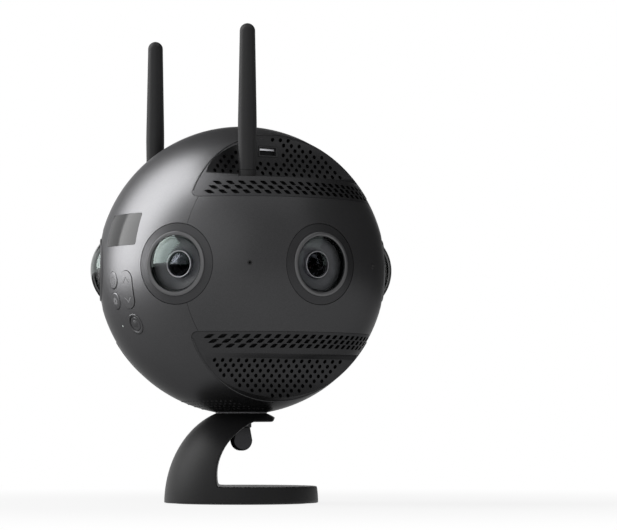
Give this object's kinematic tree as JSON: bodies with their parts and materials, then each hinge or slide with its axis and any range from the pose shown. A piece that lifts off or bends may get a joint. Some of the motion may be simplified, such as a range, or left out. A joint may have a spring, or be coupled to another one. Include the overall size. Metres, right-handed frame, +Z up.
{
  "type": "360 degree camera",
  "caption": "Ball-shaped 360 degree camera head with lenses all round, perforated vents, aerials and a removable battery, on a C-shaped table stand.",
  "frame": {"origin": "centre of the bounding box at its base, which is the point on the ground under the middle of the ball", "axes": "+Z up along the axis of the ball and the stand, -X towards the stand's arm, -Y towards the viewer of the picture"},
  "size_m": [0.1496, 0.143, 0.2323],
  "materials": {
    "body_metal": "dark satin anodised",
    "vent_metal": "dark matt",
    "bezel_metal": "dark satin",
    "front_glass": "clear dome",
    "barrel_black": "matt black",
    "inner_glass": "coated glass",
    "silver_metal": "bright",
    "steel": "plated",
    "circuit_board": "solder mask",
    "brass": "machined",
    "cooling_metal": "cast",
    "black_plastic": "moulded",
    "battery_case": "satin",
    "display_gloss": "glossy dark",
    "display_panel": "glossy",
    "button_plastic": "satin",
    "lamp_lens": "clear",
    "microphone_rubber": "soft",
    "aerial_rubber": "matt",
    "stand_metal": "black satin",
    "base_metal": "satin",
    "pale_pad": "thin pad",
    "foot_rubber": "matt"
  },
  "bodies": {
    "stand": {"stand_body": "stand_metal", "stand_top_pad": "pale_pad", "stand_foot_pad": "foot_rubber"},
    "head": {"aerial_connectors": "silver_metal", "base_plate": "base_metal", "base_screws": "steel", "battery_bay": "black_plastic", "button_board": "circuit_board", "core_frame": "cooling_metal", "display_module": "display_panel", "display_window": "display_gloss", "fan_housing": "black_plastic", "front_left_lens_barrel": "barrel_black", "front_left_lens_bezel": "bezel_metal", "front_left_lens_front_glass": "front_glass", "front_right_lens_barrel": "barrel_black", "front_right_lens_bezel": "bezel_metal", "front_right_lens_front_glass": "front_glass", "front_shell": "body_metal", "heat_sink": "cooling_metal", "inner_lens_mounts": "silver_metal", "inner_lenses": "inner_glass", "left_lens_barrel": "barrel_black", "left_lens_bezel": "bezel_metal", "left_lens_front_glass": "front_glass", "left_side_panel": "body_metal", "lower_left_vent": "vent_metal", "lower_right_vent": "vent_metal", "main_board": "circuit_board", "microphones": "microphone_rubber", "module_screws": "steel", "rear_left_lens_barrel": "barrel_black", "rear_left_lens_bezel": "bezel_metal", "rear_left_lens_front_glass": "front_glass", "rear_port_panel": "black_plastic", "rear_right_lens_barrel": "barrel_black", "rear_right_lens_bezel": "bezel_metal", "rear_right_lens_front_glass": "front_glass", "rear_shell": "body_metal", "right_lens_barrel": "barrel_black", "right_lens_bezel": "bezel_metal", "right_lens_front_glass": "front_glass", "right_side_panel": "body_metal", "sensor_boards": "circuit_board", "status_lamp": "lamp_lens", "tripod_insert": "brass", "upper_left_vent": "vent_metal", "upper_right_vent": "vent_metal", "wall_socket": "black_plastic"},
    "thumbscrew": {"thumbscrew": "stand_metal"},
    "right_aerial": {"right_aerial": "aerial_rubber"},
    "left_aerial": {"left_aerial": "aerial_rubber"},
    "power_button": {"power_button": "button_plastic"},
    "settings_button": {"settings_button": "button_plastic"},
    "rocker": {"rocker_button": "button_plastic"},
    "shutter_button": {"shutter_button": "button_plastic"},
    "battery": {"battery": "battery_case"},
    "battery_release": {"battery_release_button": "button_plastic"},
    "fan_rotor": {"fan_rotor": "black_plastic"}
  },
  "joints": [
    {"name": "head_turn", "type": "hinge", "parent": "stand", "child": "head", "pos_m": [0, 0, 0.1153], "axis": [0, 0, 1], "continuous": true},
    {"name": "thumbscrew_turn", "type": "hinge", "parent": "stand", "child": "thumbscrew", "pos_m": [0, 0, 0.0402], "axis": [0, 0, 1], "range_deg": [-1980, 0]},
    {"name": "right_aerial_turn", "type": "hinge", "parent": "head", "child": "right_aerial", "pos_m": [0.00273, -0.04882, 0.1575], "axis": [0, 0, 1], "range_deg": [0, 1080]},
    {"name": "left_aerial_turn", "type": "hinge", "parent": "head", "child": "left_aerial", "pos_m": [-0.04365, 0.02205, 0.1575], "axis": [0, 0, 1], "range_deg": [0, 1080]},
    {"name": "power_press", "type": "slide", "parent": "head", "child": "power_button", "axis": [0.8706, 0.4828, 0.0951], "range_m": [0, 0.0004], "stiffness_N_per_m": 2000},
    {"name": "settings_press", "type": "slide", "parent": "head", "child": "settings_button", "axis": [0.8512, 0.4701, 0.2336], "range_m": [0, 0.0004], "stiffness_N_per_m": 2000},
    {"name": "shutter_press", "type": "slide", "parent": "head", "child": "shutter_button", "axis": [0.7159, 0.5771, 0.393], "range_m": [0, 0.0004], "stiffness_N_per_m": 2000},
    {"name": "rocker_tilt", "type": "hinge", "parent": "head", "child": "rocker", "pos_m": [-0.05149, -0.04093, 0.10439], "axis": [0.6223, -0.7827, 0], "range_deg": [-2.5, 2.5], "stiffness_Nm_per_rad": 0.2},
    {"name": "battery_release_press", "type": "slide", "parent": "head", "child": "battery_release", "axis": [-0.8133, -0.5322, 0.235], "range_m": [0, 0.001], "stiffness_N_per_m": 1500},
    {"name": "battery_slide", "type": "slide", "parent": "head", "child": "battery", "axis": [0.8368, 0.5476, 0], "range_m": [0, 0.08]},
    {"name": "fan_spin", "type": "hinge", "parent": "head", "child": "fan_rotor", "pos_m": [0, 0, 0.1455], "axis": [0, 0, 1], "continuous": true}
  ]
}
